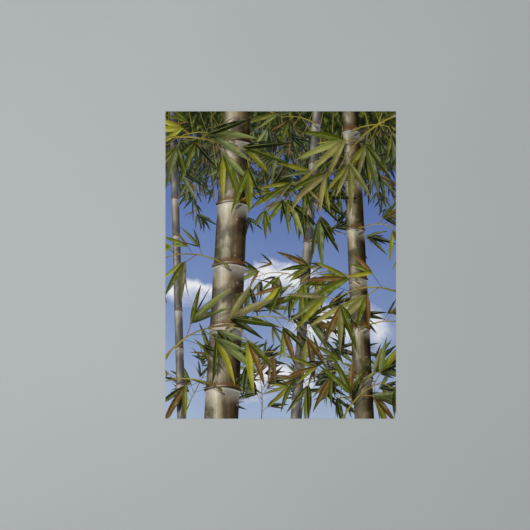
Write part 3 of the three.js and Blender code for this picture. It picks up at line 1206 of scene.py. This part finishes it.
# %% A finish
INK_ROUGHNESS = 0.58
LOW_SHEEN = 0.04
GRAIN_SCALE = 1400
GRAIN_HEIGHT = 0.04 * MM
PAINT_SCALE = 320
PAINT_HEIGHT = 0.15 * MM
PAINT_ROUGHNESS = 0.75


class Finish(Tree):
    """A new material's node tree."""

    def __init__(self, name):
        self.material = bpy.data.materials.new(name)
        self.material.use_nodes = True
        super().__init__(self.material.node_tree)
        self.tree.nodes.clear()

    def place(self, stretch=(1, 1, 1)):
        """Object coordinates. A pattern is finer along an axis that is stretched more."""
        place = self.add("ShaderNodeTexCoord", output="Object")
        return self.add("ShaderNodeVectorMath", {0: place, 1: stretch}, operation="MULTIPLY")

    def noise(self, scale, detail=3, roughness=0.5, stretch=(1, 1, 1)):
        """Cloudy grey over the piece. A higher scale is finer, and detail adds finer waves."""
        inputs = {"Vector": self.place(stretch), "Scale": scale, "Detail": detail}
        return self.add("ShaderNodeTexNoise", {**inputs, "Roughness": roughness})

    def layer(self, name):
        """Both numbers of a UV layer."""
        return self.axes(self.add("ShaderNodeUVMap", uv_map=name))[:2]

    def bump(self, height, distance, **below):
        inputs = {"Strength": 0.5, "Distance": distance, "Height": height, **below}
        return self.add("ShaderNodeBump", inputs)

    def matte(self, colour, bump, roughness):
        """Ends a finish with a shader that hardly shines."""
        shader = self.add("ShaderNodeBsdfPrincipled", {
            "Base Color": colour, "Roughness": roughness, "Specular IOR Level": LOW_SHEEN,
            "Normal": bump,
        })
        self.node("ShaderNodeOutputMaterial", {0: shader})
        return self.material

    def ink(self, colour):
        """Ends a finish with a fine grain in colour and surface, and with the paint below."""
        grain = self.noise(GRAIN_SCALE, 2)
        bump = self.bump(grain, GRAIN_HEIGHT)
        bump = self.bump(self.noise(PAINT_SCALE), PAINT_HEIGHT / 2, Normal=bump)
        colour = brighten(colour, fade(grain, 0.25, 0.75, 0.95, 1.05))
        return self.matte(colour, bump, INK_ROUGHNESS)


print("ink roughness", INK_ROUGHNESS, "and paint roughness", PAINT_ROUGHNESS)

# %% [markdown]
# ## Sky and clouds
# A clear sky is deepest overhead and pales towards the ground. Clouds have no outline, so the
# cloud ink reaches further than the cloud, and both inks carry the same finish. It sums soft
# ovals, one for each cloud, whose edges are torn by noise. Their undersides are blue-grey. High up
# the tops of a distant grove close the sky in, too far off to show as single leaves.

# %% Sky and cloud finish
CLOUD_SWAY = 0.055
SKY_COLOURS = [
    (0.0, rgb(172, 190, 218)), (0.4, rgb(126, 149, 196)), (0.7, rgb(96, 121, 181)),
    (1.0, rgb(74, 98, 160)),
]
CLOUD_COLOURS = [
    (0.25, rgb(150, 164, 200)), (0.55, rgb(194, 202, 224)), (0.85, rgb(240, 242, 248)),
]
GROVE_COLOURS = [
    (0.36, rgb(14, 18, 9)), (0.5, rgb(36, 45, 17)), (0.62, rgb(80, 90, 34)),
    (0.7, rgb(146, 150, 78)),
]
SKY_START = 0.35
SKY_SCALE = 5
SWAY_SCALE = 13
TEAR_SCALE = 16
CLOUD_EDGE = 1.44
CLOUD_SCALE = 26
GROVE_SCALE = 13
GROVE_EDGE = (1.22, 1.3)
GROVE_LEAF_SCALE = 120


def swayed_place(look):
    """A place shifted by up to half the sway, so that what is drawn there billows."""
    inputs = {"Vector": look.place(), "Scale": SWAY_SCALE, "Detail": 5}
    sway = look.add("ShaderNodeTexNoise", inputs, output="Color")
    inputs = {0: sway, 1: (CLOUD_SWAY,) * 3, 2: look.place()}
    return look.add("ShaderNodeVectorMath", inputs, operation="MULTIPLY_ADD")


def cloud_cover(look):
    """How thick the cloud is and how far up in it a point lies, over all the clouds."""
    x, _, z = look.axes(swayed_place(look))
    tearing = look.noise(TEAR_SCALE, 9, 0.62)
    cover, height = 0, 0
    for cloud in clouds:
        across = (x - (cloud["middle"][0] + CLOUD_SWAY / 2)) / cloud["size"][0]
        up = (z - (cloud["middle"][1] + CLOUD_SWAY / 2)) / cloud["size"][1]
        reach = (across * across + up * up).math("SQRT") + tearing
        thickness = fade(reach, CLOUD_EDGE, 1)
        cover = thickness.math("MAXIMUM", cover)
        height = up * thickness + height
    return cover, height


def sky_finish(name):
    """A sky that pales downwards, with clouds in it and a distant grove above."""
    look = Finish(name)
    up = look.axes(look.place())[2]
    share = up / SHEET_HEIGHT + SKY_START + look.noise(SKY_SCALE, 4) * 0.3
    cover, height = cloud_cover(look)
    light = look.noise(CLOUD_SCALE, 8, 0.6) * 1.4 + height * 0.6
    colour = blend(ramp(share, SKY_COLOURS), cover, ramp(light, CLOUD_COLOURS))
    grove = fade(share * 0.9 + look.noise(GROVE_SCALE, 8, 0.68), *GROVE_EDGE)
    leaves = look.noise(GROVE_LEAF_SCALE, 5, 0.6, (1, 1, 0.6))
    return look.ink(blend(colour, grove, ramp(leaves, GROVE_COLOURS)))


for ink in ("sky", "cloud"):
    prints[ink].data.materials.append(sky_finish(ink))
    print(ink, "finished over", len(clouds), "ovals of cloud")

# %% [markdown]
# ## Culms
# A grown culm is grey-beige, a little green, streaked along its length and spotted with lichen.
# Light from the left leaves its right side dark, with a faint glow at the very edge, and that
# alone makes a flat ribbon look round. Leaves above throw soft dapples on it. A lamp lights a flat
# sheet evenly, so all this light and dark is part of the finish.

# %% The look of a grown stem
STEM_COLOURS = [
    (0.0, rgb(90, 80, 64)), (0.1, rgb(150, 138, 118)), (0.3, rgb(208, 198, 178)),
    (0.5, rgb(158, 142, 116)), (0.75, rgb(86, 68, 46)), (0.93, rgb(34, 25, 15)),
    (1.0, rgb(62, 55, 45)),
]
MOSS = rgb(96, 104, 44)
LICHEN = rgb(196, 192, 182)
STREAK_STRETCH = (420, 1, 9)
MOSS_SCALE = 22
LICHEN_SCALE = 95
DAPPLE_SCALE = 34


def weathered_stem(look, across, green):
    """Light and dark over a stem lit from the left, with its streaks, lichen and dapples."""
    streaks = fade(look.noise(1, 4, 0.6, STREAK_STRETCH), 0.3, 0.7, 0.78, 1.18)
    moss = fade(look.noise(MOSS_SCALE, 5), 0.5, 0.72, 0, green)
    lichen = fade(look.noise(LICHEN_SCALE, 6, 0.62), 0.6, 0.7, 0, 0.6)
    dapples = fade(look.noise(DAPPLE_SCALE, 3, 0.45, (1, 1, 0.7)), 0.42, 0.56, 0.42, 1)
    colour = brighten(ramp(across * 0.5 + 0.5, STEM_COLOURS), streaks)
    colour = blend(blend(colour, moss, MOSS), lichen, LICHEN)
    return brighten(colour, dapples)


print("a stem goes through", len(STEM_COLOURS), "tones from side to side")

# %% [markdown]
# A culm is pale with wax below a ring, and brown above it, where a torn sheath still clings. These
# bands could be marks too, but they have no sharp outline. The place along a culm counts its
# rings, so its fraction is enough to draw the bands at every ring at once.

# %% The finish of a culm
YOUNG_GREEN = rgb(120, 124, 70)
WAX = rgb(206, 204, 194)
SHEATH = rgb(112, 74, 38)
FAR_AIR = rgb(98, 108, 124)
TATTER_SCALE = 150
SHADOW_DEPTH = 0.3


def shaded(colour, shade):
    """Darkens a colour by the depth of shadow on it."""
    return brighten(colour, fade(shade, 0, 1, 1, SHADOW_DEPTH))


def culm_finish(name, haze, green, key):
    """The key names a culm of this ink, whose rings give the arch of everything near a ring."""
    culm = CULMS[key]
    arch = RING_ARCH * mix(culm["foot_width"], culm["head_width"], 0.5) / culm["ring_gap"]
    look = Finish(name)
    across, joints = look.layer("Blade")
    tone, shade = look.layer("Tone")
    colour = weathered_stem(look, across, green)
    colour = blend(colour, tone * green, YOUNG_GREEN, "OVERLAY")
    from_ring = ((across * across - 1) * arch + joints).math("FRACT")
    bloom = fade(from_ring, 0.72, 0.94)
    colour = brighten(tint(colour, bloom, 0.22, WAX), bloom * 0.3 + 1)
    under_ridge = fade(from_ring, 0.06, 0.24, 0.62, 1)
    tatters = look.noise(TATTER_SCALE, 4, stretch=(1, 1, 0.25))
    sheath = fade(tatters * 0.2 + from_ring, 0.2, 0.17)
    colour = tint(brighten(colour, under_ridge), sheath, 0.62, SHEATH)
    return look.ink(shaded(blend(colour, haze, FAR_AIR), shade))


far_look = culm_finish("far_culm", haze=0.3, green=0.35, key="slim")
prints["far_culm"].data.materials.append(far_look)
near_look = culm_finish("culm", haze=0.0, green=0.5, key="left")
prints["culm"].data.materials.append(near_look)
print(far_look.name, "and", near_look.name, "finished")

# %% [markdown]
# A ring is a low ridge. A bump could raise it, but a print is flat and only shows its light and
# dark. Its upper side is pale with wax, and along its lower side runs the dark scar that a sheath
# has left. The ribbon of a ring runs across the culm, so the light and dark of the stem follow
# the place along it, and the ridge follows the place across.

# %% The finish of a ring
SCAR = rgb(52, 36, 22)
RING_GREEN = 0.2


def ring_finish(name):
    """A stem's own light and dark, with pale wax above and a dark scar below."""
    look = Finish(name)
    up, along = look.layer("Blade")
    shade = look.layer("Tone")[1]
    colour = weathered_stem(look, along * 2 - 1, RING_GREEN)
    bloom = fade(up, 0.15, 0.5)
    colour = tint(colour, bloom, 0.55, WAX)
    scar = fade(up, -0.55, -0.3) * fade(up, 0.25, 0)
    colour = tint(colour, scar, 0.85, SCAR)
    return look.ink(shaded(colour, shade))


prints["ring"].data.materials.append(ring_finish("ring"))
print("rings finished")

# %% [markdown]
# ## Leaves
# Every kind of leaf could have a finish of its own, but nearly all of it would be repeated. So
# one rule colours them all, from nearly black olive to yellow-green, by their tone. One half is
# lighter than the other, because a blade is folded along its midrib. The midrib is pale, fine
# veins run beside it, and some tips are dry. About a quarter of the leaves show their greyish
# underside. Which ones do comes from the tone too: multiplied by a large number, it leaves a
# fraction that is as good as a draw. Leaves far off are drawn towards the blue of the air
# between.

# %% Leaf finish
LEAF_COLOURS = [
    (0.0, rgb(7, 9, 3)), (0.2, rgb(18, 23, 5)), (0.4, rgb(45, 54, 10)),
    (0.6, rgb(86, 95, 18)), (0.8, rgb(148, 145, 38)), (0.9, rgb(138, 108, 52)),
    (1.0, rgb(104, 75, 38)),
]
UNDERSIDE = rgb(128, 138, 92)
SHEEN = rgb(196, 206, 170)
MIDRIB = rgb(178, 186, 96)
DRY_TIP = rgb(150, 120, 56)
NEAR_AIR = rgb(52, 74, 82)
LEAF_HAZE = {
    "leaf_hanging": 0.13, "leaf_low": 0.1, "leaf_slim": 0.04, "leaf_right": 0.0,
    "leaf_left": 0.0, "leaf_near": 0.0,
}
VEINS = 26
SHUFFLE = 61
MOTTLE_SCALE = 70
SUN_SCALE = 9


def leaf_finish(name, haze):
    """The broad light and dark comes first, then fine marks, the shadow and the air."""
    look = Finish(name)
    across, along = look.layer("Blade")
    tone, shade = look.layer("Tone")
    mottle = look.noise(MOTTLE_SCALE, 4)
    colour = ramp(mottle * 0.12 + tone, LEAF_COLOURS)
    turned_over = fade((tone * SHUFFLE).math("FRACT"), 0.76, 0.78)
    colour = tint(colour, turned_over, 0.45, UNDERSIDE)
    off_middle = across.math("ABSOLUTE")
    sun = fade(look.noise(SUN_SCALE, 2), 0.36, 0.62, 0.6, 1.25)
    fold = fade(across, -0.06, 0.06, 0.82, 1.14)
    veins = fade((across * VEINS).math("SINE"), -1, 1, 0.94, 1.06)
    edges = fade(off_middle, 0.55, 1, 1, 0.8)
    for light in (sun, fold, veins, edges):
        colour = brighten(colour, light)
    shine = fade(across, 0.1, 0.4) * fade(across, 0.8, 0.5) * fade(mottle, 0.45, 0.6)
    colour = tint(colour, shine, 0.28, SHEEN)
    midrib = fade(off_middle, 0.13, 0.03) * fade(along, 0.95, 0.3)
    colour = tint(colour, midrib, 0.4, MIDRIB)
    base = fade(along, 0, 0.3, 0.62, 1)
    dry = fade(along, 0.8, 1) * fade(mottle, 0.45, 0.65)
    colour = tint(brighten(colour, base), dry, 0.6, DRY_TIP)
    return look.ink(blend(shaded(colour, shade), haze, NEAR_AIR))


for ink, haze in LEAF_HAZE.items():
    prints[ink].data.materials.append(leaf_finish(ink, haze))
print(len(LEAF_HAZE), "leaf inks finished")

# %% [markdown]
# ## Film and adhesive
# The film is a white matte sheet a fifth of a millimetre thick. Only its rim shows, which slants
# in a little towards the back, because the knife that cuts a sheet out leans as it goes. A cube
# would have to be made and then bent to that, so the two rectangles and the band of faces between
# them are written down instead.

# %% The film
CUT_SLANT = 0.05 * MM
BAND = [(side, (side + 1) % 4, (side + 1) % 4 + 4, side + 4) for side in range(4)]


def rectangle(half_width, half_height, y):
    """The corners of an upright rectangle about the origin."""
    return [(x * half_width, y, z * half_height) for x, z in CORNERS]


def cut_sheet(name, low, high):
    """A thin sheet of the full size in front, and smaller by the slant of its cut behind."""
    vertices = rectangle(high.x, high.z, low.y)
    vertices += rectangle(high.x - CUT_SLANT, high.z - CUT_SLANT, high.y)
    faces = [(0, 1, 2, 3), (7, 6, 5, 4), *(face[::-1] for face in BAND)]
    mesh = bpy.data.meshes.new(name)
    mesh.from_pydata(vertices, [], faces)
    lay_flat(mesh)
    return new_object(name, mesh)


def sheet_finish(name, scale, dark, light):
    """A plain matte sheet, which is a little cloudy."""
    look = Finish(name)
    return look.ink(blend(dark, look.noise(scale, 4), light))


film = cut_sheet("film_sheet", *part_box("film"))
film.data.materials.append(sheet_finish("film", 60, rgb(226, 227, 224), rgb(240, 240, 238)))
print("film", [round(side / MM, 3) for side in film.dimensions], "mm")

# %% [markdown]
# Behind the film lies the adhesive. It is pressed into small pads with channels between them, so
# that air can escape when the sheet is smoothed on. An array modifier in two directions would do
# this too, but in Geometry Nodes one pad on a grid of points keeps the counts as named inputs.

# %% The adhesive pads
PAD_PITCH = 8 * MM
PAD_SHARE = 0.86
PAD_EDGE = 2 * MM


def pad_tree():
    """A pad on every point of an upright grid."""
    tree = GeometryTree("adhesive_pads", {
        "Columns": "Int", "Rows": "Int", "Pitch": "Float", "Share": "Float", "Depth": "Float",
        "Material": "Material",
    })
    columns, rows, pitch = (tree.given[label] for label in ("Columns", "Rows", "Pitch"))
    grid = tree.add("GeometryNodeMeshGrid", {
        "Size X": columns * pitch - pitch, "Size Y": rows * pitch - pitch,
        "Vertices X": columns, "Vertices Y": rows,
    })
    side = pitch * tree.given["Share"]
    size = tree.vector(side, side, tree.given["Depth"])
    pad = tree.add("GeometryNodeMeshCube", {"Size": size})
    pads = tree.add("GeometryNodeInstanceOnPoints", {"Points": grid, "Instance": pad})
    inputs = {"Geometry": pads, "Rotation": (math.pi / 2, 0, 0)}
    return tree.finish(tree.add("GeometryNodeTransform", inputs))


adhesive_low, adhesive_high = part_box("adhesive_layer")
pads = pad_tree().run({
    "Columns": int((SHEET_WIDTH - PAD_EDGE) / PAD_PITCH),
    "Rows": int((SHEET_HEIGHT - PAD_EDGE) / PAD_PITCH),
    "Pitch": PAD_PITCH, "Share": PAD_SHARE, "Depth": adhesive_high.y - adhesive_low.y,
    "Material": sheet_finish("adhesive", 40, rgb(176, 178, 176), rgb(198, 199, 196)),
})
for vertex in pads.vertices:
    vertex.co.y += (adhesive_low.y + adhesive_high.y) / 2
lay_flat(pads)
adhesive = new_object("adhesive_pads", pads)
print("adhesive", len(pads.polygons), "faces")

# %% [markdown]
# ## Ride and replace
# The sheet is one body, so every piece rides on it. Each piece hides the solids that it stands
# for. The name of its finish is listed with it, but nothing here gives it to the piece.

# %% Tie the pieces to the solids
def nodes_named(starts):
    """The solids whose names start in one of these ways."""
    return [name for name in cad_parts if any(name.startswith(start) for start in starts)]


tied = [(piece, INK_NODES[ink], "ink_" + ink) for ink, piece in prints.items()]
tied += [(film, ["film"], "film"), (adhesive, ["adhesive_layer"], "adhesive")]
for piece, starts, slot in tied:
    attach(piece, "root")
    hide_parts(*nodes_named(starts))
print(len(tied), "pieces tied")

# %% [markdown]
# ## The wall and the light
# The print is stuck on a smooth grey wall, whose rolled paint has a very fine relief. Behind the
# sheet the wall has an opening just smaller than the sheet, so that a look from behind shows the
# glued side. A solid wall would hide it.

# %% The wall and the floor
WALL_REACH = 1.5
WALL_GAP = 0.1 * MM
OPENING_INSET = 3 * MM
FLOOR_DEPTH = 3.2
PATCH_SCALE = 1.6


def flat_piece(name, vertices, faces):
    """A flat piece of the wall or floor, which is not tied to the sheet."""
    mesh = bpy.data.meshes.new(name)
    mesh.from_pydata(vertices, [], faces)
    piece = new_object(name, mesh)
    return piece


def paint_finish(name, colour):
    """Matte paint, slightly uneven, with the fine relief that a roller leaves."""
    look = Finish(name)
    unevenness = fade(look.noise(PATCH_SCALE, 2), 0.3, 0.7, 0.985, 1.015)
    roller = look.bump(look.noise(PAINT_SCALE), PAINT_HEIGHT)
    return look.matte(brighten(colour, unevenness), roller, PAINT_ROUGHNESS)


opening = (SHEET_WIDTH / 2 - OPENING_INSET, SHEET_HEIGHT / 2 - OPENING_INSET)
corners = rectangle(WALL_REACH, WALL_REACH, WALL_GAP) + rectangle(*opening, WALL_GAP)
wall = flat_piece("wall", corners, BAND)
wall.data.materials.append(paint_finish("wall", rgb(182, 187, 188)))
ends = [(-1, -FLOOR_DEPTH), (1, -FLOOR_DEPTH), (1, WALL_GAP), (-1, WALL_GAP)]
corners = [(side * WALL_REACH, y, -WALL_REACH) for side, y in ends]
floor = flat_piece("floor", corners, [(0, 1, 2, 3)])
floor.data.materials.append(paint_finish("floor", rgb(196, 194, 190)))
print("wall", [round(side, 3) for side in wall.dimensions], "m")

# %% [markdown]
# The daylight is even and comes a little more from the left. A sun would be too hard, and a window
# would be much to build for a soft gradient. A plain pale world gives most of the light, and one
# broad lamp on the left gives the rest.

# %% Daylight
WORLD_STRENGTH = 0.72
LIGHT_PLACE = (-0.6, -1.5, 0)
LIGHT_SIDE = 0.6
LIGHT_POWER = 7.2

world = bpy.data.worlds.new("daylight")
world.use_nodes = True
background = world.node_tree.nodes["Background"]
background.inputs["Color"].default_value = rgb(253, 253, 253)
background.inputs["Strength"].default_value = WORLD_STRENGTH
bpy.context.scene.world = world

light_data = bpy.data.lights.new("daylight", "AREA")
light_data.size = LIGHT_SIDE
light_data.energy = LIGHT_POWER
light = new_object("daylight", light_data)
light.location = LIGHT_PLACE
light.rotation_euler = (math.pi / 2, 0, 0)
bpy.context.scene.view_settings.view_transform = "Standard"
print("daylight at strength", WORLD_STRENGTH)
